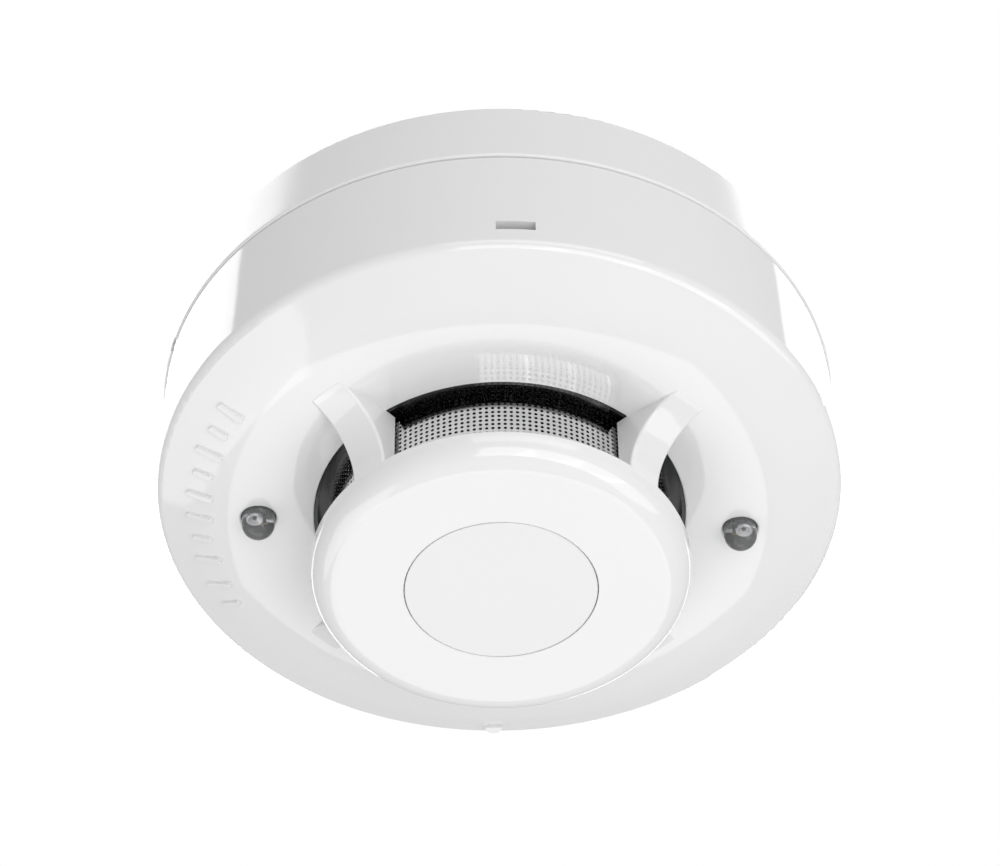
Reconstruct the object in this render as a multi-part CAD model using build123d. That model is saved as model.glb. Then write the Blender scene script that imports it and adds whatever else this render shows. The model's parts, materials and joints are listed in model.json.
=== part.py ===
"""Ceiling smoke detector: a sensor head that twists onto a round mounting base.

Millimetres, +Z up. The origin is the centre of the ceiling face of the base, so the detector hangs
down to negative Z. The tool slot in the cover faces -Y and the indicator lamps lie on the X axis.
"""
from build123d import *
from math import atan2, cos, degrees, radians, sin
import os

# ---- overall sizes ----
base_top_radius = 50.4
base_edge_radius = 51.7
wall_radius = 51.55
rim_radius = 51.4
base_height = 12.55
parting_gap = 0.2
overall_depth = 49.95
wall_thickness = 2.0

# ---- mounting base ----
plate_thickness = 2.2
skirt_thickness = 1.8
cable_hole_radius = 13.0
fixing_spacing = 60.0
fixing_slot_length = 12.0
fixing_slot_radius = 2.2
back_recess_inner = 38.8
back_recess_outer = 46.8
back_recess_depth = 0.8
back_recess_count = 12
back_rib_width = 3.0
key_notch_angle = -165.2
key_notch_width = 2.6
key_notch_height = 1.8

# ---- twist lock ----
twist_angle = 20.0
lug_angles = (90.0, 210.0, 330.0)
lug_span = 16.0
ledge_span = 18.0
lock_wall_inner = 42.0
lock_wall_outer = 43.4
lock_wall_depth = 10.5
ledge_inner = 40.0
ledge_top = -8.8
collar_inner = 38.0
collar_outer = 39.6
lug_outer = 41.7
lug_top = -7.0
lug_thickness = 1.4

# ---- lock slide and its ramp ----
slide_travel = 1.4
slide_width = 8.0
slide_outer = 48.0
slide_thickness = 1.4
slide_bottom = -29.8
nose_tip = 49.0
nose_width = 4.0
nose_low = -10.6
nose_high = -7.8
ramp_low = -11.2
ramp_high = -7.2
ramp_steps = 10

# ---- cover: its face bulges down from the wall to a soft crest and back up to the opening ----
face_depth = 32.3
face_edge_rounding = 1.6
bulge_corner_radius = 39.5
bulge_corner_depth = 37.2
bulge_rounding = 28.0
crest_depth = 36.2
opening_radius = 27.83
opening_depth = 35.1
lamp_radius_position = 36.05
lamp_hole_lip = 0.35
fin_thickness = 6.0
fin_inner = 26.0
fin_reach = 37.2
fin_edge_radius = 0.4
fin_angles = (45.0, 135.0, 225.0, 315.0)
cap_radius = 28.2
cap_top = -45.3
cap_recess_radius = 25.65
cap_recess_floor = -46.4
insert_radius = 14.15
insert_gap = 0.15
insert_thickness = 1.2
tool_slot_width = 5.6
tool_slot_height = 1.75
tool_slot_middle = -28.2
cover_post_radius = 3.2
cover_post_position = 44.0
pip_angle = 88.6
pip_radius = 1.4
pip_position = 48.2
pip_height = 0.6
mark_height = 0.4
mark_width = 1.0
mark_radius = 44.9
mark_groups = ((-152.9, 5), (-181.5, 3), (-200.2, 2))
mark_spacing = 5.7

# ---- smoke chamber ----
flange_radius = 32.5
flange_bottom = -32.75
flange_thickness = 1.5
collar_ring_outer = 27.75
collar_ring_inner = 27.3
collar_ring_bottom = -34.9
cup_radius = 18.0
cup_wall = 1.5
cup_top = -24.4
screen_radius = 25.5
screen_wall = 0.3
louvre_count = 20
louvre_radii = (15.8, 19.6, 23.4)
louvre_bend = 9.0
louvre_thickness = 1.0
louvre_floor_top = -45.0
optics_height = -28.0
optics_angles = {"emitter": 30.0, "photodiode": 150.0}

# ---- chassis and circuit board ----
chassis_top = -14.4
chassis_thickness = 1.8
chassis_radius = 49.2
chassis_lip_inner = 47.6
chassis_lip_outer = 48.95
chassis_lip_top = -11.7
board_radius = 40.4
board_top = -20.6
board_thickness = 1.6

# ---- terminals ----
terminal_angles = (45.0, 135.0, 225.0, 315.0)
pad_bottom = -4.4
terminal_thickness = 0.8
clamp_thickness = 0.7
terminal_inner = 22.0
terminal_outer = 32.0
terminal_screw_position = 27.0
terminal_screw_radius = 1.5
contact_position = 33.0
contact_top = -9.1

# ---- lamps ----
lamp_radius = 2.5
lamp_flange_radius = 2.9
lamp_flange_top = -30.1
lamp_dome_centre = -37.15
lead_radius = 0.25
lead_spacing = 2.54

MIN = (Align.CENTER, Align.CENTER, Align.MIN)


def rod(radius, z_low, z_high, x=0.0, y=0.0):
    """Upright cylinder between two heights."""
    return Pos(x, y, z_low) * Cylinder(radius, z_high - z_low, align=MIN)


def tube(outer, inner, z_low, z_high):
    """Upright ring about the Z axis."""
    return rod(outer, z_low, z_high) - rod(inner, z_low - 1, z_high + 1)


def block(x_low, x_high, y_low, y_high, z_low, z_high):
    """Box between two corners."""
    size = (x_high - x_low, y_high - y_low, z_high - z_low)
    middle = ((x_low + x_high) / 2, (y_low + y_high) / 2, (z_low + z_high) / 2)
    return Pos(*middle) * Box(*size)


def arc_block(inner, outer, z_low, z_high, middle_angle, span):
    """Sector of a ring, centred on an angle."""
    section = Pos((inner + outer) / 2, (z_low + z_high) / 2) * Rectangle(outer - inner, z_high - z_low)
    sector = revolve(Plane.XZ * section, axis=Axis.Z, revolution_arc=span)
    return Rot(0, 0, middle_angle - span / 2) * sector


def turned(angle, shape):
    """Shape drawn along +X, turned to an angle about Z."""
    return Rot(0, 0, angle) * shape


def rounded_face(corners):
    """Closed face whose corners are (r, z, corner radius)."""
    face = make_face(Polyline(*[(r, z) for r, z, _ in corners], close=True))
    for r, z, radius in corners:
        if radius:
            corner = face.vertices().sort_by_distance(Vector(r, z))[0]
            face = fillet(corner, radius)
    return face


def turned_solid(corners):
    """Solid of revolution about Z from (r, z, corner radius) corners."""
    return revolve(Plane.XZ * rounded_face(corners), axis=Axis.Z)


def place(radius, angle):
    """Point at a radius and an angle in the XY plane."""
    return radius * cos(radians(angle)), radius * sin(radians(angle))


# ---------------------------------------------------------------- mounting base
def ramp_radius(angle_past_slide):
    """Inner radius of the ramp: it closes in evenly as the head turns to release."""
    share = min(max(angle_past_slide / twist_angle, 0.0), 1.0)
    return nose_tip + 0.6 - slide_travel * share


def lock_ramp():
    """Rib inside the skirt that pushes the lock slide in, with a stop beside the slide's rest place."""
    step = twist_angle / ramp_steps
    root = base_edge_radius - skirt_thickness + 0.3
    rib = arc_block(nose_tip - 1.6, root, ramp_low, ramp_high, -81.5, 3.0)
    for index in range(ramp_steps):
        past = (index + 0.5) * step
        inner = ramp_radius(past + step / 2)
        rib += arc_block(inner, root, ramp_low, ramp_high, -90.0 - past, step)
    end = -90.0 - twist_angle - 3.0
    return rib + arc_block(ramp_radius(twist_angle), root, ramp_low, ramp_high, end, 6.0)


def back_recesses():
    """Shallow pockets round the ceiling face, with a rib between each pair."""
    middle_radius = (back_recess_inner + back_recess_outer) / 2
    pitch = 360.0 / back_recess_count
    span = pitch - degrees(back_rib_width / middle_radius)
    pockets = [
        arc_block(back_recess_inner, back_recess_outer, -back_recess_depth, 1.0, (index + 0.5) * pitch, span)
        for index in range(back_recess_count)
    ]
    return Compound(children=pockets)


def make_mounting_base():
    skirt = turned_solid(
        (
            (cable_hole_radius, 0, 0.4),
            (base_top_radius, 0, 0.5),
            (base_edge_radius, -base_height, 0.3),
            (base_edge_radius - skirt_thickness, -base_height, 0.25),
            (base_top_radius - skirt_thickness, -plate_thickness, 0.5),
            (cable_hole_radius, -plate_thickness, 0.4),
        )
    )
    base = skirt + tube(lock_wall_outer, lock_wall_inner, -lock_wall_depth, -plate_thickness + 0.1)
    for angle in lug_angles:
        base += arc_block(
            ledge_inner, lock_wall_inner + 0.3, -lock_wall_depth, ledge_top, angle, ledge_span
        )
        stop = angle + lug_span / 2 + 2.5
        base += arc_block(ledge_inner, lock_wall_inner + 0.3, ledge_top - 0.2, -plate_thickness, stop, 2.5)
    for angle in terminal_angles:
        pad = block(terminal_inner - 1, terminal_outer + 0.5, -5, 5, pad_bottom, -plate_thickness + 0.1)
        base += turned(angle, pad)
        x, y = place(terminal_screw_position, angle)
        base -= rod(terminal_screw_radius + 0.05, pad_bottom - 1, -0.8, x, y)
    base += lock_ramp()
    for side in (-1, 1):
        slot = SlotOverall(fixing_slot_length, 2 * fixing_slot_radius)
        cut = extrude(slot, plate_thickness + 2)
        base -= Pos(side * fixing_spacing / 2, 0, -plate_thickness - 1) * cut
    base -= back_recesses()
    notch = block(
        base_edge_radius - skirt_thickness - 0.5,
        base_edge_radius + 1,
        -key_notch_width / 2,
        key_notch_width / 2,
        -base_height - 1,
        -base_height + key_notch_height,
    )
    return base - turned(key_notch_angle, notch)


def make_terminal_plate(angle):
    """Screw terminal with a folded spring leaf that rubs on the head's contact."""
    top = pad_bottom
    bottom = pad_bottom - terminal_thickness
    plate = block(terminal_inner, terminal_outer, -4, 4, bottom, top)
    plate -= rod(terminal_screw_radius + 0.2, bottom - 1, top + 1, terminal_screw_position)
    leaf_thickness = 0.5
    leaf_middle = bottom + leaf_thickness / 2
    fold = contact_position + 3.2
    path = Polyline(
        (terminal_outer - 1, leaf_middle),
        (fold, leaf_middle),
        (fold + 0.5, leaf_middle - 1.2),
        (contact_position, contact_top + 0.55),
        (contact_position - 1.5, contact_top + 1.1),
    )
    leaf = extrude(Plane.XZ * trace(path, leaf_thickness), 2.0, both=True)
    return turned(angle, plate + leaf)


def make_terminal_clamps():
    clamps = []
    top = pad_bottom - terminal_thickness
    for angle in terminal_angles:
        clamp = Pos(terminal_screw_position, 0, 0) * block(-3.2, 3.2, -3.2, 3.2, top - clamp_thickness, top)
        clamp -= rod(terminal_screw_radius + 0.15, top - 3, top + 3, terminal_screw_position)
        clamps.append(turned(angle, clamp))
    return Compound(children=clamps)


def pan_screw(seat, tip, head_radius, head_height, shank_radius, head_up):
    """Cross-recessed pan head screw on the Z axis; the head rises from its seat when head_up is true."""
    way = 1 if head_up else -1
    head_end = seat + way * head_height
    head = rod(head_radius, min(seat, head_end), max(seat, head_end))
    crown = head.edges().filter_by(GeomType.CIRCLE).sort_by(Axis.Z)[-1 if head_up else 0]
    head = fillet(crown, head_height * 0.45)
    shank = rod(shank_radius, min(seat, tip), max(seat, tip))
    recess_depth = head_height * 0.55
    recess = Pos(0, 0, head_end) * (
        Box(head_radius * 1.1, head_radius * 0.28, 2 * recess_depth)
        + Box(head_radius * 0.28, head_radius * 1.1, 2 * recess_depth)
    )
    return head + shank - recess


def make_terminal_screws():
    seat = pad_bottom - terminal_thickness - clamp_thickness
    screw = pan_screw(seat, -1.0, 2.8, 2.0, terminal_screw_radius, head_up=False)
    return Compound(
        children=[Pos(*place(terminal_screw_position, angle), 0) * screw for angle in terminal_angles]
    )


# ---------------------------------------------------------------- cover
def face_height(radius):
    """Height of the face's outer slope at a radius."""
    share = (wall_radius - radius) / (wall_radius - bulge_corner_radius)
    return -face_depth - share * (bulge_corner_depth - face_depth)


face_tilt = degrees(atan2(bulge_corner_depth - face_depth, wall_radius - bulge_corner_radius))


def make_fin():
    """Fin between the cap and the face: a slab of a flare that leaves the cap upright and spreads to the face."""
    arc_start = cap_top - 1.0
    face_line = -crest_depth - 0.05
    rise = face_line - arc_start
    run = fin_reach - cap_radius
    arc_radius = (run**2 + rise**2) / (2 * run)
    centre = (cap_radius + arc_radius, arc_start)
    sweep_angle = degrees(atan2(rise, arc_radius - run))
    outer_arc = CenterArc(centre, arc_radius, 180, -sweep_angle)
    inside_face = -crest_depth + 1.2
    outline = Polyline(
        outer_arc @ 1,
        (fin_reach + 0.2, inside_face),
        (opening_radius + 0.1, inside_face),
        (opening_radius + 0.1, -opening_depth + 0.05),
        (fin_inner, -opening_depth + 0.05),
        (fin_inner, arc_start),
        outer_arc @ 0,
    )
    flare = revolve(Plane.XZ * make_face(outer_arc + outline), axis=Axis.Z, revolution_arc=40)
    flare = turned(-20, flare)
    half = fin_thickness / 2
    fin = flare & block(0, fin_reach + 1, -half, half, -overall_depth, 0)
    long_edges = [
        edge
        for edge in fin.edges()
        if abs(abs(edge.center().Y) - half) < 0.01 and edge.center().X > cap_radius and edge.length > rise
    ]
    return fillet(long_edges, fin_edge_radius)


def make_cap():
    insert_recess_floor = -overall_depth + insert_thickness + 0.05
    recess_radius = insert_radius + insert_gap
    return turned_solid(
        (
            (0, cap_recess_floor, 0),
            (cap_recess_radius, cap_recess_floor, 0),
            (cap_recess_radius, cap_top, 0.2),
            (cap_radius, cap_top, 0.5),
            (cap_radius, -overall_depth, 4.0),
            (recess_radius, -overall_depth, 0.12),
            (recess_radius, insert_recess_floor, 0),
            (0, insert_recess_floor, 0),
        )
    )


def raised_marks():
    """Rows of plain raised bars, radial, on an arc of the face's outer slope."""
    bars = []
    for first_angle, count in mark_groups:
        for index in range(count):
            angle = first_angle - index * mark_spacing
            length = 4.4 if index % 2 == 0 else 3.2
            bar = Pos(0, 0, -mark_height) * extrude(SlotOverall(length, mark_width), mark_height + 0.5)
            bar = fillet(bar.faces().sort_by(Axis.Z)[0].edges(), 0.15)
            bars.append(turned(angle, Pos(mark_radius, 0, face_height(mark_radius)) * Rot(0, -face_tilt, 0) * bar))
    return bars


def alignment_pip():
    """Half-round raised mark at the edge of the face, its flat side to the centre."""
    disc = rod(pip_radius, face_height(pip_position) - pip_height, -face_depth + 2.5)
    half_disc = disc & block(0, 2 * pip_radius, -pip_radius, pip_radius, -overall_depth, 0)
    lower_edge = half_disc.faces().sort_by(Axis.Z)[0].edges()
    return turned(pip_angle, Pos(pip_position, 0, 0) * fillet(lower_edge, 0.12))


def make_outer_cover():
    rim = -base_height - parting_gap
    inner_wall = wall_radius - wall_thickness
    inner_face = -face_depth + wall_thickness
    inner_crest = -crest_depth + wall_thickness
    shell = turned_solid(
        (
            (rim_radius, rim, 0.25),
            (wall_radius, -face_depth, face_edge_rounding),
            (bulge_corner_radius, -bulge_corner_depth, bulge_rounding),
            (opening_radius, -opening_depth, 0.35),
            (opening_radius, -opening_depth + wall_thickness, 0.3),
            (bulge_corner_radius, inner_crest, 0),
            (inner_wall, inner_face, 2.0),
            (rim_radius - wall_thickness, rim, 0.25),
        )
    )
    cover = shell + make_cap()
    for angle in fin_angles:
        cover += turned(angle, make_fin())
    post_top = chassis_top - chassis_thickness
    root = 0.5
    post_room = turned_solid(
        (
            (0, post_top, 0),
            (0, inner_crest - root, 0),
            (bulge_corner_radius, inner_crest - root, 0),
            (inner_wall, inner_face - root, 0),
            (inner_wall, post_top, 0),
        )
    )
    for angle in lug_angles:
        x, y = place(cover_post_position, angle)
        cover += rod(cover_post_radius, -crest_depth, post_top, x, y) & post_room
        cover -= rod(1.3, post_top - 9, post_top + 1, x, y)
    for bar in raised_marks():
        cover += bar
    for side in (-1, 1):
        x = side * lamp_radius_position
        cover -= rod(lamp_radius + 0.12, -crest_depth - 3, inner_crest + 2, x)
        lip = cover.edges().sort_by_distance(Vector(x, 0, -crest_depth - 1))[0]
        cover = fillet(lip, lamp_hole_lip)
    cover -= block(
        -tool_slot_width / 2,
        tool_slot_width / 2,
        -wall_radius - 1,
        -inner_wall + 1,
        tool_slot_middle - tool_slot_height / 2,
        tool_slot_middle + tool_slot_height / 2,
    )
    return cover + alignment_pip()


def make_centre_insert():
    return turned_solid(
        (
            (0, -overall_depth + insert_thickness, 0),
            (insert_radius, -overall_depth + insert_thickness, 0),
            (insert_radius, -overall_depth, 0.12),
            (0, -overall_depth, 0),
        )
    )


# ---------------------------------------------------------------- smoke chamber
def make_insect_screen():
    return tube(screen_radius, screen_radius - screen_wall, cap_recess_floor, flange_bottom)


def optics_bore(angle):
    bore = Pos(8, 0, optics_height) * Rot(0, 90, 0) * Cylinder(2.6, 18, align=MIN)
    return turned(angle, bore)


def make_chamber_body():
    flange_top = flange_bottom + flange_thickness
    flange = turned_solid(
        (
            (0, flange_top, 0),
            (0, flange_bottom, 0),
            (flange_radius, flange_bottom, 0.4),
            (flange_radius, flange_top, 0.4),
        )
    )
    body = flange + tube(collar_ring_outer, collar_ring_inner, collar_ring_bottom, flange_bottom + 0.1)
    body += rod(cup_radius, flange_top - 0.1, cup_top)
    for angle in optics_angles.values():
        holder = Pos(14, 0, optics_height) * Rot(0, 90, 0) * Cylinder(3.6, 8.5, align=MIN)
        body += turned(angle, holder)
    body -= rod(cup_radius - cup_wall, flange_bottom - 1, cup_top - cup_wall)
    for angle in optics_angles.values():
        block_inner = Pos(9.5, 0, optics_height) * Rot(0, 90, 0) * Cylinder(3.6, 7.5, align=MIN)
        body += turned(angle, block_inner)
        body -= optics_bore(angle)
    board_bottom = board_top - board_thickness
    for angle in (90.0, 270.0):
        x, y = place(11.0, angle)
        body += rod(2.6, cup_top - 0.1, board_bottom, x, y)
        body -= rod(1.1, cup_top - 1.0, board_bottom + 1, x, y)
    return body


def make_labyrinth():
    """Floor disc with bent louvres that pass smoke and stop light."""
    labyrinth = rod(louvre_radii[2] + 0.6, cap_recess_floor, louvre_floor_top)
    height = flange_bottom - 0.15 - louvre_floor_top
    inner, middle, outer = louvre_radii
    for index in range(louvre_count):
        angle = index * 360.0 / louvre_count
        path = Polyline(place(inner, angle), place(middle, angle + louvre_bend), place(outer, angle))
        louvre = extrude(trace(path, louvre_thickness), height + 0.2)
        labyrinth += Pos(0, 0, louvre_floor_top - 0.2) * louvre
    return labyrinth


def lying_lamp(angle, dome):
    """Round 5 mm optical part lying along a radius, its nose to the centre and its leads up to the board."""
    nose = 11.5
    tail = nose + 7.5
    body = Pos(nose, 0, optics_height) * Rot(0, 90, 0) * Cylinder(2.5, tail - nose, align=MIN)
    if dome:
        body += Pos(nose, 0, optics_height) * Sphere(2.5)
    lead_top = board_top - board_thickness
    for side in (-1, 1):
        y = side * lead_spacing / 2
        out = Pos(tail - 0.2, y, optics_height) * Rot(0, 90, 0) * Cylinder(lead_radius, 5.2, align=MIN)
        up = rod(lead_radius, optics_height - lead_radius, lead_top, tail + 4.6, y)
        body += out + up
    return turned(angle, body)


def make_photodiode_shield():
    """Tinned can over the photodiode's leads."""
    floor = flange_bottom + flange_thickness
    can = block(22.7, 26.6, -3.6, 3.6, floor, floor + 7.4)
    can -= block(23.1, 26.2, -3.2, 3.2, floor - 1, floor + 7.0)
    can -= block(22.2, 23.4, -2.6, 2.6, floor - 1, floor + 5.9)
    can -= block(22.9, 24.9, -2.4, 2.4, floor + 6.0, floor + 8.0)
    return turned(optics_angles["photodiode"], can)


# ---------------------------------------------------------------- chassis and board
def make_chassis():
    bottom = chassis_top - chassis_thickness
    chassis = rod(chassis_radius, bottom, chassis_top)
    chassis += tube(chassis_lip_outer, chassis_lip_inner, chassis_top - 0.1, chassis_lip_top)
    chassis += tube(collar_outer, collar_inner, chassis_top - 0.1, lug_top)
    for angle in lug_angles:
        chassis += arc_block(collar_outer - 0.3, lug_outer, lug_top - lug_thickness, lug_top, angle, lug_span)
        x, y = place(cover_post_position, angle)
        chassis -= rod(1.6, bottom - 1, chassis_top + 1, x, y)
    half_slot = slide_width / 2 + 0.3
    chassis -= block(
        -half_slot,
        half_slot,
        -slide_outer - 0.35,
        -slide_outer + slide_thickness + slide_travel + 0.35,
        bottom - 1,
        chassis_lip_top + 1,
    )
    chassis += block(-3.0, 3.0, -41.6, -40.6, board_top + 0.3, bottom + 0.1)
    for angle in terminal_angles:
        slot = block(contact_position - 0.45, contact_position + 0.45, -2.55, 2.55, bottom - 1, chassis_top + 1)
        chassis -= turned(angle, slot)
    return chassis


def make_contact_blade(angle):
    """Brass blade from the board up through the chassis, with a flat top that the base's leaf rubs on."""
    blade = block(contact_position - 0.4, contact_position + 0.4, -2.5, 2.5, board_top, contact_top)
    top = block(contact_position - 2.6, contact_position + 1.4, -2.5, 2.5, contact_top - 0.8, contact_top)
    return turned(angle, blade + top)


def make_head_screws():
    screw = pan_screw(chassis_top, chassis_top - chassis_thickness - 8, 2.6, 1.8, 1.28, head_up=True)
    return Compound(children=[Pos(*place(cover_post_position, angle), 0) * screw for angle in lug_angles])


def make_chamber_screws():
    screw = pan_screw(board_top, cup_top - 0.9, 2.2, 1.5, 1.08, head_up=True)
    return Compound(children=[Pos(*place(11.0, angle), 0) * screw for angle in (90.0, 270.0)])


def make_circuit_board():
    board = rod(board_radius, board_top - board_thickness, board_top)
    for angle in (90.0, 270.0):
        board -= rod(1.3, board_top - 5, board_top + 1, *place(11.0, angle))
    return board


def make_control_chip():
    """Surface-mount chip with its two rows of legs."""
    chip = block(-5.0, 5.0, -2.0, 2.0, board_top + 0.15, board_top + 1.75)
    chip = fillet(chip.edges().filter_by(Axis.Z), 0.2)
    for side in (-1, 1):
        for index in range(8):
            x = -4.45 + index * 1.27
            leg = block(x - 0.2, x + 0.2, 1.9, 3.0, board_top + 0.75, board_top + 0.95)
            leg += block(x - 0.2, x + 0.2, 2.8, 3.0, board_top, board_top + 0.95)
            leg += block(x - 0.2, x + 0.2, 2.8, 3.6, board_top, board_top + 0.2)
            chip += leg if side > 0 else Rot(0, 0, 180) * (Pos(-8.9 + 2 * 4.45, 0, 0) * leg)
    return Pos(16, 0, 0) * chip


def make_capacitors():
    """Two can capacitors, each on its square foot."""
    cans = []
    for x, y in ((-14.0, 12.0), (-20.0, 5.0)):
        can = rod(2.3, board_top + 0.6, board_top + 3.6)
        can = fillet(can.edges().filter_by(GeomType.CIRCLE).sort_by(Axis.Z)[-1], 0.4)
        foot = block(-2.5, 2.5, -2.5, 2.5, board_top, board_top + 0.7)
        cans.append(Pos(x, y, 0) * (can + foot))
    return Compound(children=cans)


def make_resistors():
    """Chip resistors in two rows."""
    chips = []
    for row, y in enumerate((-16.0, -20.0)):
        for index in range(5):
            x = -8.0 + index * 4.2 + row * 1.5
            chips.append(block(x - 1.0, x + 1.0, y - 0.6, y + 0.6, board_top, board_top + 0.6))
    return Compound(children=chips)


def make_bridge_rectifier():
    body = block(-2.4, 2.4, -2.0, 2.0, board_top + 0.1, board_top + 2.5)
    body = fillet(body.edges().filter_by(Axis.Z), 0.3)
    for x in (-1.3, 1.3):
        body += block(x - 0.35, x + 0.35, -3.4, 3.4, board_top, board_top + 0.3)
    return Pos(-24, -10, 0) * body


def make_indicator_lamp(side):
    """Clear 5 mm lamp pointing down through the face, with its leads up to the board."""
    lamp = rod(lamp_radius, lamp_dome_centre, lamp_flange_top)
    lamp += Pos(0, 0, lamp_dome_centre) * Sphere(lamp_radius)
    lamp += rod(lamp_flange_radius, lamp_flange_top - 1.0, lamp_flange_top)
    for x in (-lead_spacing / 2, lead_spacing / 2):
        lamp += rod(lead_radius, lamp_flange_top - 0.2, board_top - board_thickness, x)
    return Pos(side * lamp_radius_position, 0, 0) * lamp


# ---------------------------------------------------------------- lock slide
def make_lock_slide():
    """Upright slide behind the tool slot; its nose rides on the ramp inside the base."""
    half = slide_width / 2
    slide = block(-half, half, -slide_outer, -slide_outer + slide_thickness, slide_bottom, nose_high)
    nose = block(-nose_width / 2, nose_width / 2, -nose_tip, -slide_outer + 0.1, nose_low, nose_high)
    nose = fillet(nose.edges().filter_by(Axis.Z).group_by(Axis.Y)[0], 0.7)
    return slide + nose


def make_slide_spring():
    """Small compression spring that pushes the lock slide outwards."""
    start = -slide_outer + slide_thickness + 0.25
    end = -41.6 - 0.25
    turns = 4.5
    coil_radius = 1.5
    wire_radius = 0.22
    length = end - start
    path = Helix(length / turns, length, coil_radius)
    section = Plane(origin=path @ 0, z_dir=path % 0) * Circle(wire_radius)
    coil = sweep(section, path=path)
    return Pos(0, start, -18.4) * Rot(-90, 0, 0) * coil


parts = {
    "mounting_base": make_mounting_base(),
    "terminal_clamps": make_terminal_clamps(),
    "terminal_screws": make_terminal_screws(),
    "outer_cover": make_outer_cover(),
    "centre_insert": make_centre_insert(),
    "insect_screen": make_insect_screen(),
    "chamber_body": make_chamber_body(),
    "labyrinth": make_labyrinth(),
    "emitter_lamp": lying_lamp(optics_angles["emitter"], dome=True),
    "photodiode": lying_lamp(optics_angles["photodiode"], dome=False),
    "photodiode_shield": make_photodiode_shield(),
    "chassis": make_chassis(),
    "head_screws": make_head_screws(),
    "chamber_screws": make_chamber_screws(),
    "circuit_board": make_circuit_board(),
    "control_chip": make_control_chip(),
    "capacitors": make_capacitors(),
    "resistors": make_resistors(),
    "bridge_rectifier": make_bridge_rectifier(),
    "indicator_lamp_left": make_indicator_lamp(-1),
    "indicator_lamp_right": make_indicator_lamp(1),
    "lock_slide": make_lock_slide(),
    "slide_spring": make_slide_spring(),
}
for number, terminal_angle in enumerate(terminal_angles, start=1):
    parts[f"terminal_plate_{number}"] = make_terminal_plate(terminal_angle)
    parts[f"contact_blade_{number}"] = make_contact_blade(terminal_angle)

os.makedirs("parts", exist_ok=True)
for name, shape in parts.items():
    export_step(shape, f"parts/{name}.step")
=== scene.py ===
"""Looks of the ceiling smoke detector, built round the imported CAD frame. Metres, +Z up."""
import bpy
import bmesh
import json
from math import cos, pi, radians, sin
from mathutils import Matrix, Vector


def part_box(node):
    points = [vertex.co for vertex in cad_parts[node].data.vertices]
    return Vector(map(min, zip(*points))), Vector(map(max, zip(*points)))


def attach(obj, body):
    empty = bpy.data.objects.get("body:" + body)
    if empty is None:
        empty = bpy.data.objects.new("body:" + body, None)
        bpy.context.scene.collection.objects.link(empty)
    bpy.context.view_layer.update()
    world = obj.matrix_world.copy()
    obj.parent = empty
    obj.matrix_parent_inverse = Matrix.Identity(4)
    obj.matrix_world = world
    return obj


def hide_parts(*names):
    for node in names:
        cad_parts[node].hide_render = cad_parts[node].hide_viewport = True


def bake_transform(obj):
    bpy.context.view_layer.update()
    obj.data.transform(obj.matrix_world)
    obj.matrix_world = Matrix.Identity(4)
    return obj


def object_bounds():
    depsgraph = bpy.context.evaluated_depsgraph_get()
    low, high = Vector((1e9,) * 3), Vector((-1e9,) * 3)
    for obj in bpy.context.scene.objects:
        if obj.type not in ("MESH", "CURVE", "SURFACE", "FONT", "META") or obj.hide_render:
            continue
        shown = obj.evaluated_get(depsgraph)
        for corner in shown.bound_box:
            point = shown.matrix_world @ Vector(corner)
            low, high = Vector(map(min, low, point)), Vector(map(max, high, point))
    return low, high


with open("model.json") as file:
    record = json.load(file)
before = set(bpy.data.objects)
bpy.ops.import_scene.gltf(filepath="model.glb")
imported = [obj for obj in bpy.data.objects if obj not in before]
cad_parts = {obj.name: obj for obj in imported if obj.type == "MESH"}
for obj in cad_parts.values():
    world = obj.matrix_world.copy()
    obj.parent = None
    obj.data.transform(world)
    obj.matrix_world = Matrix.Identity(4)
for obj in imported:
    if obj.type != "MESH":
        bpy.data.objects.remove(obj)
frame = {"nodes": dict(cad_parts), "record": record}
cad_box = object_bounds()
nodes = frame["nodes"]
MM = 0.001

# ---- camera: the view from below that shows the near wall, the face and the cap ----
CAMERA_AZIMUTH = radians(-3.3)
CAMERA_ELEVATION = radians(-46.47)
CAMERA_DISTANCE = 495.3 * MM
CAMERA_ROLL = radians(1.04)
CAMERA_LENS = 112.9
CAMERA_SENSOR_WIDTH = 36
CAMERA_AIM = Vector((0.24, 8.14, -7.73)) * MM
CAMERA_CLIP_START = 0.01
CAMERA_CLIP_END = 20

# ---- studio lights: turn from the -Y side towards +X, height angle, width, tallness, radiance ----
LIGHT_DISTANCE = 0.9
SOFTBOXES = {
    "key_1": (1, -38, 0.42, 0.55, 1.4),
    "key_2": (28, -38, 0.42, 0.55, 1.4),
    "key_3": (55, -38, 0.42, 0.55, 1.25),
    "key_4": (82, -38, 0.42, 0.55, 1.05),
    "front_high": (10, 20, 0.9, 0.5, 0.95),
    "left_high": (-143, 45, 0.9, 0.9, 2.0),
    "right_high": (146, 45, 0.8, 0.8, 1.7),
    "back_left": (-120, -45, 0.6, 0.6, 0.9),
    "back": (178, -50, 0.6, 0.5, 0.9),
}
AMBIENT = 0.51

# ---- floor: far below the detector ----
FLOOR_HALF_SIZE = 6.0
FLOOR_HEIGHT = -1.2
FLOOR_NOISE = 4

# ---- noise in the materials: scales per metre, and the range that most of the noise stays in ----
PLASTIC_COLOUR_NOISE = 60
PLASTIC_GLOSS_NOISE = 240
METAL_COLOUR_NOISE = 400
METAL_GLOSS_NOISE = 1500
EPOXY_GLOSS_NOISE = 900
NOISE_LOW = 0.3
NOISE_HIGH = 0.7

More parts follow.
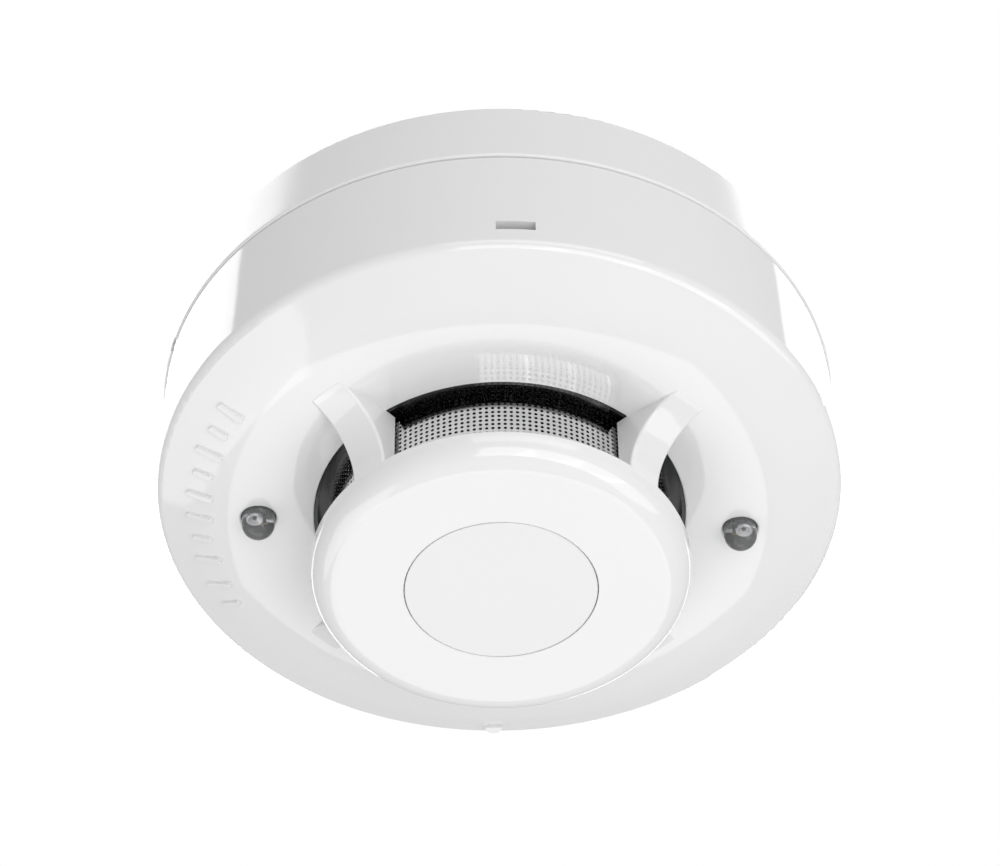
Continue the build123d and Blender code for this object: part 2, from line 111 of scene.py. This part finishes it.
# ---- indicator lamps: standard 5 mm parts, tip down, pins up ----
LAMP_RADIUS = 2.5 * MM
LAMP_FLANGE_RADIUS = 2.9 * MM
LAMP_FLANGE_THICKNESS = 1.0 * MM
LAMP_LENGTH = 9.55 * MM
LAMP_EDGE_ROUNDING = 0.15 * MM
LAMP_DOME_START = -88   # degrees; the ring beside the tip
LAMP_DOME_STEPS = 24
LAMP_EDGE_STEPS = 4
LAMP_PIN = 0.5 * MM
LAMP_PIN_OFFSET = 1.27 * MM

# ---- inside a lamp ----
CUP_RISE = 0.5 * MM     # the rim above the dome's centre
CUP_OFFSET = 0.35 * MM  # away from the detector's middle
CUP_RIM_RADIUS = 0.55 * MM
CUP_FLOOR_RADIUS = 0.3 * MM
CUP_DEPTH = 0.45 * MM
CUP_FLOOR_RAISE = 0.15 * MM     # from the cup's full depth towards its rim
CUP_WALL = 0.2 * MM
CUP_STEPS = 40
CUP_POST_WIDTH = 1.0 * MM
WIRE_POST_WIDTH = 0.6 * MM
WIRE_POST_RISE = 0.4 * MM   # its lower end above the dome's centre
WIRE_POST_REACH = 1.0 * MM  # from the lamp's axis to where the bond wire ends
POST_HEIGHT = 2.2 * MM
PIN_START = 1.5 * MM    # above the post's lower end
CHIP_HALF_WIDTH = 0.17 * MM
CHIP_FRONT = 0.35 * MM  # from the cup's full depth towards its rim
CHIP_BACK = 0.16 * MM   # the same way
CHIP_BEVEL = 0.02 * MM
BAR_BEVEL = 0.06 * MM
BOND_WIRE_RADIUS = 0.025 * MM
BOND_WIRE_ARCH = 0.45 * MM

# ---- insect screen ----
SCREEN_COLUMNS = 180
SCREEN_ROW_PITCH = 0.835 * MM
SCREEN_HOLE_RADIUS = 0.26 * MM
SCREEN_SHEET = 0.1 * MM
SCREEN_LEAST_BAND = 0.3 * MM

# ---- lock slide's spring ----
SPRING_TURNS = 4.5
SPRING_WIRE = 0.22 * MM
SPRING_SIDES = 10
SPRING_STEPS = 130


# ---------------------------------------------------------------- mesh helpers
def new_object(name, mesh):
    made = bpy.data.objects.new(name, mesh)
    bpy.context.scene.collection.objects.link(made)
    return made


def mesh_object(name, points, faces, smooth=True):
    mesh = bpy.data.meshes.new(name)
    mesh.from_pydata([tuple(point) for point in points], [], faces)
    mesh.validate()
    for polygon in mesh.polygons:
        polygon.use_smooth = smooth
    return new_object(name, mesh)


# ---------------------------------------------------------------- material helpers
class Shader:
    """A Principled material with short calls for the nodes that give it detail."""

    def __init__(self, name):
        self.material = bpy.data.materials.new(name)
        self.material.use_nodes = True
        self.tree = self.material.node_tree
        self.surface = self.tree.nodes["Principled BSDF"]
        self.place = self.tree.nodes.new("ShaderNodeTexCoord")

    def node(self, kind, **settings):
        made = self.tree.nodes.new(kind)
        for key, value in settings.items():
            setattr(made, key, value)
        return made

    def link(self, out, into):
        self.tree.links.new(out, into)

    def set(self, **values):
        for key, value in values.items():
            self.surface.inputs[key.replace("_", " ")].default_value = value

    def noise(self, scale, detail=3.0):
        made = self.node("ShaderNodeTexNoise")
        made.inputs["Scale"].default_value = scale
        made.inputs["Detail"].default_value = detail
        self.link(self.place.outputs["Object"], made.inputs["Vector"])
        return made.outputs["Fac"]

    def spread(self, value, low, high):
        """Maps the range that noise mostly stays in to another range."""
        made = self.node("ShaderNodeMapRange")
        made.inputs["From Min"].default_value = NOISE_LOW
        made.inputs["From Max"].default_value = NOISE_HIGH
        made.inputs["To Min"].default_value = low
        made.inputs["To Max"].default_value = high
        self.link(value, made.inputs["Value"])
        return made.outputs["Result"]

    def blend(self, value, colour_a, colour_b):
        made = self.node("ShaderNodeMix", data_type="RGBA")
        self.link(value, made.inputs["Factor"])
        made.inputs["A"].default_value = (*colour_a, 1)
        made.inputs["B"].default_value = (*colour_b, 1)
        return made.outputs["Result"]

    def bump(self, height, depth):
        made = self.node("ShaderNodeBump")
        made.inputs["Distance"].default_value = depth
        self.link(height, made.inputs["Height"])
        self.link(made.outputs["Normal"], self.surface.inputs["Normal"])


def plastic(name, dark, light, gloss, grain_scale, grain_depth, ior=1.5):
    """Moulded plastic: faint colour drift, uneven gloss and a fine grain."""
    made = Shader(name)
    colour = made.blend(made.noise(PLASTIC_COLOUR_NOISE), dark, light)
    roughness = made.spread(made.noise(PLASTIC_GLOSS_NOISE), *gloss)
    made.link(colour, made.surface.inputs["Base Color"])
    made.link(roughness, made.surface.inputs["Roughness"])
    made.bump(made.noise(grain_scale, detail=2.0), grain_depth)
    made.set(IOR=ior)
    return made.material


def metal(name, dark, light, gloss, scratch_scale, scratch_depth):
    """Metal: colour drift, uneven gloss and fine scratches."""
    made = Shader(name)
    colour = made.blend(made.noise(METAL_COLOUR_NOISE), dark, light)
    roughness = made.spread(made.noise(METAL_GLOSS_NOISE), *gloss)
    made.link(colour, made.surface.inputs["Base Color"])
    made.link(roughness, made.surface.inputs["Roughness"])
    made.bump(made.noise(scratch_scale), scratch_depth)
    made.set(Metallic=1.0)
    return made.material


def clear(name, tint, roughness, ior, clearness):
    """Moulded epoxy with an uneven gloss; less clearness gives a faint haze."""
    made = Shader(name)
    uneven = made.spread(made.noise(EPOXY_GLOSS_NOISE), roughness, roughness * 2)
    made.link(uneven, made.surface.inputs["Roughness"])
    made.set(Base_Color=(*tint, 1), IOR=ior, Transmission_Weight=clearness)
    return made.material


MATERIALS = {
    "cover_plastic": plastic(
        "cover_plastic_look", dark=(0.86, 0.86, 0.86), light=(0.88, 0.88, 0.88),
        gloss=(0.05, 0.07), grain_scale=9000, grain_depth=1e-6, ior=1.75,
    ),
    "white_plastic": plastic(
        "white_plastic_look", dark=(0.86, 0.86, 0.86), light=(0.88, 0.88, 0.88),
        gloss=(0.12, 0.17), grain_scale=9000, grain_depth=2e-6,
    ),
    "insert_plastic": plastic(
        "insert_plastic_look", dark=(0.85, 0.85, 0.85), light=(0.87, 0.87, 0.87),
        gloss=(0.16, 0.2), grain_scale=9000, grain_depth=2e-6,
    ),
    "chassis_plastic": plastic(
        "chassis_plastic_look", dark=(0.72, 0.72, 0.71), light=(0.76, 0.76, 0.75),
        gloss=(0.4, 0.5), grain_scale=5000, grain_depth=6e-6,
    ),
    "black_plastic": plastic(
        "black_plastic_look", dark=(0.012, 0.012, 0.013), light=(0.018, 0.018, 0.02),
        gloss=(0.16, 0.24), grain_scale=7000, grain_depth=2e-6,
    ),
    "louvre_plastic": plastic(
        "louvre_plastic_look", dark=(0.16, 0.16, 0.163), light=(0.2, 0.2, 0.203),
        gloss=(0.35, 0.45), grain_scale=7000, grain_depth=3e-6,
    ),
    "slide_plastic": plastic(
        "slide_plastic_look", dark=(0.03, 0.03, 0.032), light=(0.045, 0.045, 0.047),
        gloss=(0.35, 0.45), grain_scale=6000, grain_depth=4e-6,
    ),
    "chip_epoxy": plastic(
        "chip_epoxy_look", dark=(0.02, 0.02, 0.02), light=(0.035, 0.035, 0.035),
        gloss=(0.5, 0.65), grain_scale=12000, grain_depth=6e-6,
    ),
    "dark_epoxy": plastic(
        "dark_epoxy_look", dark=(0.02, 0.015, 0.022), light=(0.03, 0.02, 0.03),
        gloss=(0.08, 0.12), grain_scale=4000, grain_depth=1e-6,
    ),
    "board_laminate": plastic(
        "board_laminate_look", dark=(0.01, 0.13, 0.05), light=(0.015, 0.17, 0.06),
        gloss=(0.25, 0.35), grain_scale=3000, grain_depth=8e-6,
    ),
    "screen_steel": metal(
        "screen_steel_look", dark=(0.8, 0.8, 0.8), light=(0.86, 0.86, 0.86),
        gloss=(0.03, 0.05), scratch_scale=6000, scratch_depth=5e-7,
    ),
    "steel_screws": metal(
        "steel_screws_look", dark=(0.62, 0.63, 0.64), light=(0.72, 0.73, 0.74),
        gloss=(0.22, 0.34), scratch_scale=4000, scratch_depth=6e-6,
    ),
    "nickel_plate": metal(
        "nickel_plate_look", dark=(0.66, 0.62, 0.54), light=(0.76, 0.72, 0.64),
        gloss=(0.2, 0.3), scratch_scale=4000, scratch_depth=4e-6,
    ),
    "tinned_steel": metal(
        "tinned_steel_look", dark=(0.6, 0.61, 0.62), light=(0.7, 0.71, 0.72),
        gloss=(0.3, 0.42), scratch_scale=3000, scratch_depth=6e-6,
    ),
    "aluminium_cans": metal(
        "aluminium_cans_look", dark=(0.74, 0.75, 0.76), light=(0.8, 0.81, 0.82),
        gloss=(0.25, 0.35), scratch_scale=3000, scratch_depth=6e-6,
    ),
    "spring_steel": metal(
        "spring_steel_look", dark=(0.5, 0.5, 0.5), light=(0.6, 0.6, 0.6),
        gloss=(0.2, 0.3), scratch_scale=6000, scratch_depth=4e-6,
    ),
    "brass": metal(
        "brass_look", dark=(0.7, 0.5, 0.2), light=(0.8, 0.6, 0.28),
        gloss=(0.18, 0.28), scratch_scale=4000, scratch_depth=4e-6,
    ),
    "clear_epoxy": clear(
        "clear_epoxy_look", tint=(0.8, 0.81, 0.82), roughness=0.01, ior=1.53, clearness=0.86,
    ),
    "tinted_epoxy": clear(
        "tinted_epoxy_look", tint=(0.4, 0.5, 0.8), roughness=0.02, ior=1.53, clearness=1.0,
    ),
}

for entry in frame["record"]["subparts"]:
    materials = nodes[entry["node"]].data.materials
    for index in range(len(materials)):
        materials[index] = MATERIALS[entry["material_slot"]]


# ---------------------------------------------------------------- insect screen
def perforated_sleeve():
    """Bright steel sleeve with a square grid of small eight-sided holes and plain bands at both ends."""
    low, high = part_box("insect_screen")
    radius = high.x
    rows = int((high.z - low.z - 2 * SCREEN_LEAST_BAND) / SCREEN_ROW_PITCH)
    middle = (low.z + high.z) / 2
    bottom = middle - rows * SCREEN_ROW_PITCH / 2
    top = middle + rows * SCREEN_ROW_PITCH / 2
    half_turn = pi / SCREEN_COLUMNS
    column_digits = 4
    height_steps = 1e7
    points = []
    faces = []
    found = {}

    def point(half_columns, z):
        """Index of the point at this many half columns round and this height; made once, then shared."""
        key = (round(half_columns % (2 * SCREEN_COLUMNS), column_digits), round(z * height_steps))
        if key not in found:
            angle = half_columns * half_turn
            found[key] = len(points)
            points.append((radius * cos(angle), radius * sin(angle), z))
        return found[key]

    corners = ((-1, -1), (0, -1), (1, -1), (1, 0), (1, 1), (0, 1), (-1, 1), (-1, 0))
    for row in range(rows):
        hole_z = bottom + (row + 0.5) * SCREEN_ROW_PITCH
        for column in range(SCREEN_COLUMNS):
            centre = 2 * column + 1
            outer = [point(centre + dx, hole_z + dz * SCREEN_ROW_PITCH / 2) for dx, dz in corners]
            hole = []
            for dx, dz in corners:
                reach = SCREEN_HOLE_RADIUS / (dx * dx + dz * dz) ** 0.5
                hole.append(point(centre + dx * reach / radius / half_turn, hole_z + dz * reach))
            for index in range(len(corners)):
                ahead = (index + 1) % len(corners)
                faces.append((outer[index], outer[ahead], hole[ahead], hole[index]))
    for z_low, z_high in ((low.z, bottom), (top, high.z)):
        for half in range(2 * SCREEN_COLUMNS):
            ahead = half + 1
            faces.append(
                (point(half, z_low), point(ahead, z_low), point(ahead, z_high), point(half, z_high))
            )
    made = mesh_object("insect_screen_mesh", points, faces, smooth=False)
    sheet = made.modifiers.new("sheet", "SOLIDIFY")
    sheet.thickness = SCREEN_SHEET
    sheet.offset = -1
    made.data.materials.append(MATERIALS["screen_steel"])
    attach(made, "head")
    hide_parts("insect_screen")


perforated_sleeve()


# ---------------------------------------------------------------- indicator lamps
def bar(name, x_low, x_high, y_half, z_low, z_high, slot, bevel=BAR_BEVEL):
    """Straight metal bar with softened edges."""
    mesh = bpy.data.meshes.new(name)
    shape = bmesh.new()
    bmesh.ops.create_cube(shape, size=1)
    for vert in shape.verts:
        vert.co.x = x_low if vert.co.x < 0 else x_high
        vert.co.y = vert.co.y * 2 * y_half
        vert.co.z = z_low if vert.co.z < 0 else z_high
    bmesh.ops.bevel(shape, geom=shape.edges[:], offset=bevel, segments=2, affect="EDGES")
    shape.to_mesh(mesh)
    shape.free()
    made = new_object(name, mesh)
    made.data.materials.append(MATERIALS[slot])
    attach(made, "head")


def turned_piece(name, profile, centre, slot, steps=64):
    """Piece turned about an upright axis from an open outline that starts and ends on the axis."""
    points = []
    faces = []
    rings = []
    for r, z in profile:
        if r == 0:
            rings.append([len(points)])
            points.append((centre[0], centre[1], z))
            continue
        rings.append(list(range(len(points), len(points) + steps)))
        for step in range(steps):
            angle = 2 * pi * step / steps
            points.append((centre[0] + r * cos(angle), centre[1] + r * sin(angle), z))
    for here, there in zip(rings, rings[1:]):
        for step in range(steps):
            ahead = (step + 1) % steps
            corners = [
                here[step % len(here)],
                here[ahead % len(here)],
                there[ahead % len(there)],
                there[step % len(there)],
            ]
            faces.append(list(dict.fromkeys(corners)))
    made = mesh_object(name, points, faces)
    made.data.materials.append(MATERIALS[slot])
    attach(made, "head")
    return made


def arc_points(centre_r, centre_z, radius, start, end, count):
    """(r, z) points on an arc, angles in degrees from the outward direction."""
    points = []
    for index in range(count + 1):
        angle = radians(start + (end - start) * index / count)
        points.append((centre_r + radius * cos(angle), centre_z + radius * sin(angle)))
    return points


def lens_outline(tip):
    """(r, z) outline of the moulded lens: dome, straight body and flange with rounded edges."""
    soft = LAMP_EDGE_ROUNDING
    flange_top = tip + LAMP_LENGTH
    flange_low = flange_top - LAMP_FLANGE_THICKNESS
    flange_centre = LAMP_FLANGE_RADIUS - soft
    outline = [(0, tip)]
    outline += arc_points(0, tip + LAMP_RADIUS, LAMP_RADIUS, LAMP_DOME_START, 0, LAMP_DOME_STEPS)
    outline += [(LAMP_RADIUS, flange_low - soft), (LAMP_RADIUS + soft, flange_low)]
    outline += arc_points(flange_centre, flange_low + soft, soft, -90, 0, LAMP_EDGE_STEPS)
    outline += arc_points(flange_centre, flange_top - soft, soft, 0, 90, LAMP_EDGE_STEPS)
    outline += [(0, flange_top)]
    return outline


def cup_outline(cup_z):
    """(r, z) outline of the reflector cup, which opens towards the lamp's tip."""
    floor_z = cup_z + CUP_DEPTH - CUP_FLOOR_RAISE
    back_z = cup_z + CUP_DEPTH + CUP_WALL
    outer = CUP_RIM_RADIUS + CUP_WALL
    return [
        (0, floor_z),
        (CUP_FLOOR_RADIUS, floor_z),
        (CUP_RIM_RADIUS, cup_z),
        (outer, cup_z),
        (outer, back_z),
        (0, back_z),
    ]


def indicator_lamp(node):
    """Clear moulded lens with its reflector cup, pins, posts, chip and bond wire."""
    low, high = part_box(node)
    x = (low.x + high.x) / 2
    inward = -1 if x > 0 else 1
    shell = turned_piece(f"{node}_lens", lens_outline(low.z), (x, 0), "clear_epoxy")
    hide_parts(node)

    dome_z = low.z + LAMP_RADIUS
    cup_x = x - inward * CUP_OFFSET
    cup_z = dome_z + CUP_RISE
    cup_top = cup_z + CUP_DEPTH
    turned_piece(f"{node}_cup", cup_outline(cup_z), (cup_x, 0), "tinned_steel", steps=CUP_STEPS)

    wire_post_z = dome_z + WIRE_POST_RISE
    half_pin = LAMP_PIN / 2
    for side, width, post_z in ((-inward, CUP_POST_WIDTH, cup_top), (inward, WIRE_POST_WIDTH, wire_post_z)):
        letter = "a" if side > 0 else "b"
        pin_x = x + side * LAMP_PIN_OFFSET
        bar(f"{node}_pin_{letter}", pin_x - half_pin, pin_x + half_pin, half_pin,
            post_z + PIN_START, high.z, "tinned_steel")
        reach = sorted((pin_x - side * half_pin - side * width / 2, pin_x + side * half_pin))
        bar(f"{node}_post_{letter}", *reach, half_pin, post_z, post_z + POST_HEIGHT, "tinned_steel")

    chip_front = cup_top - CHIP_FRONT
    bar(f"{node}_chip", cup_x - CHIP_HALF_WIDTH, cup_x + CHIP_HALF_WIDTH, CHIP_HALF_WIDTH,
        chip_front, cup_top - CHIP_BACK, "dark_epoxy", bevel=CHIP_BEVEL)
    wire_start = Vector((cup_x, 0, chip_front))
    wire_end = Vector((x + inward * WIRE_POST_REACH, 0, wire_post_z))
    bond_wire(node, wire_start, wire_end)


def bond_wire(node, start, end):
    """Fine wire that arches from the chip to the second post."""
    data = bpy.data.curves.new(f"{node}_bond_wire", "CURVE")
    data.dimensions = "3D"
    data.bevel_depth = BOND_WIRE_RADIUS
    data.bevel_resolution = 2
    spline = data.splines.new("NURBS")
    arch = Vector((0, 0, -BOND_WIRE_ARCH))
    route = (start, start + arch, end + arch, end)
    spline.points.add(len(route) - 1)
    for point, place in zip(spline.points, route):
        point.co = (*place, 1)
    spline.order_u = 3
    spline.use_endpoint_u = True
    data.materials.append(MATERIALS["brass"])
    made = new_object(f"{node}_bond_wire", data)
    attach(made, "head")


for lamp in ("indicator_lamp_left", "indicator_lamp_right"):
    indicator_lamp(lamp)


# ---------------------------------------------------------------- spring behind the lock slide
def coil_spring():
    """Compression spring coiled along Y, built to fill the box of the frame's spring part."""
    low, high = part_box("slide_spring")
    middle_x = (low.x + high.x) / 2
    middle_z = (low.z + high.z) / 2
    coil_radius = (high.x - low.x) / 2 - SPRING_WIRE
    first = low.y + SPRING_WIRE
    last = high.y - SPRING_WIRE
    points = []
    faces = []
    for step in range(SPRING_STEPS + 1):
        share = step / SPRING_STEPS
        turn = 2 * pi * SPRING_TURNS * share
        outward = Vector((cos(turn), 0, sin(turn)))
        axis_point = Vector((middle_x, first + (last - first) * share, middle_z))
        centre = axis_point + coil_radius * outward
        for side in range(SPRING_SIDES):
            around = 2 * pi * side / SPRING_SIDES
            points.append(centre + SPRING_WIRE * (cos(around) * outward + Vector((0, sin(around), 0))))
    for step in range(SPRING_STEPS):
        here = step * SPRING_SIDES
        there = (step + 1) * SPRING_SIDES
        for side in range(SPRING_SIDES):
            ahead = (side + 1) % SPRING_SIDES
            faces.append((here + side, here + ahead, there + ahead, there + side))
    faces.append(tuple(range(SPRING_SIDES)))
    last_ring = SPRING_STEPS * SPRING_SIDES
    faces.append(tuple(reversed(range(last_ring, last_ring + SPRING_SIDES))))
    made = mesh_object("slide_spring_coil", points, faces)
    made.data.materials.append(MATERIALS["spring_steel"])
    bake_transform(made)
    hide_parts("slide_spring")


coil_spring()


# ---------------------------------------------------------------- floor, light and camera
def make_floor():
    """Pale floor below the detector."""
    signs = ((-1, -1), (1, -1), (1, 1), (-1, 1))
    corners = [(x * FLOOR_HALF_SIZE, y * FLOOR_HALF_SIZE, FLOOR_HEIGHT) for x, y in signs]
    floor = mesh_object("floor", corners, [(0, 1, 2, 3)], smooth=False)
    look = Shader("floor_look")
    colour = look.blend(look.noise(FLOOR_NOISE), (0.86, 0.86, 0.86), (0.9, 0.9, 0.9))
    look.link(colour, look.surface.inputs["Base Color"])
    look.set(Roughness=0.8)
    floor.data.materials.append(look.material)


def make_world():
    """White backdrop behind the detector, and an even ambient light."""
    world = bpy.data.worlds.new("studio")
    world.use_nodes = True
    tree = world.node_tree
    backdrop = tree.nodes["Background"]
    backdrop.inputs["Color"].default_value = (1, 1, 1, 1)
    ambient = tree.nodes.new("ShaderNodeBackground")
    ambient.inputs["Color"].default_value = (1, 1, 1, 1)
    ambient.inputs["Strength"].default_value = AMBIENT
    seen = tree.nodes.new("ShaderNodeLightPath")
    choice = tree.nodes.new("ShaderNodeMixShader")
    tree.links.new(seen.outputs["Is Camera Ray"], choice.inputs["Fac"])
    tree.links.new(ambient.outputs["Background"], choice.inputs[1])
    tree.links.new(backdrop.outputs["Background"], choice.inputs[2])
    tree.links.new(choice.outputs["Shader"], tree.nodes["World Output"].inputs["Surface"])
    bpy.context.scene.world = world


def make_softboxes():
    """Soft rectangular lights that all face the middle of the detector."""
    low, high = cad_box
    middle = (low + high) / 2
    for name, (turn, height, width, tallness, radiance) in SOFTBOXES.items():
        turn = radians(turn)
        height = radians(height)
        away = Vector((sin(turn) * cos(height), -cos(turn) * cos(height), sin(height)))
        data = bpy.data.lights.new(name, "AREA")
        data.shape = "RECTANGLE"
        data.size = width
        data.size_y = tallness
        data.energy = radiance * pi * width * tallness
        light = new_object(name, data)
        light.location = middle + LIGHT_DISTANCE * away
        light.rotation_euler = away.to_track_quat("Z", "Y").to_euler()
        light.visible_camera = False


def make_camera():
    """Camera turned to its azimuth, tipped to its elevation, then rolled about its own line of sight."""
    data = bpy.data.cameras.new("camera")
    data.lens = CAMERA_LENS
    data.sensor_width = CAMERA_SENSOR_WIDTH
    data.clip_start = CAMERA_CLIP_START
    data.clip_end = CAMERA_CLIP_END
    camera = new_object("camera", data)
    level = Matrix.Rotation(CAMERA_AZIMUTH, 3, "Z")
    side = level @ Vector((1, 0, 0))
    ahead = level @ Vector((0, cos(CAMERA_ELEVATION), -sin(CAMERA_ELEVATION)))
    up = side.cross(ahead)
    roll = Matrix.Rotation(CAMERA_ROLL, 3, ahead)
    turned = Matrix((roll @ side, roll @ up, -ahead)).transposed()
    place = level @ CAMERA_AIM - CAMERA_DISTANCE * ahead
    camera.matrix_world = Matrix.Translation(place) @ turned.to_4x4()
    bpy.context.scene.camera = camera


make_floor()
make_world()
make_softboxes()
make_camera()
bpy.context.scene.view_settings.view_transform = "Standard"
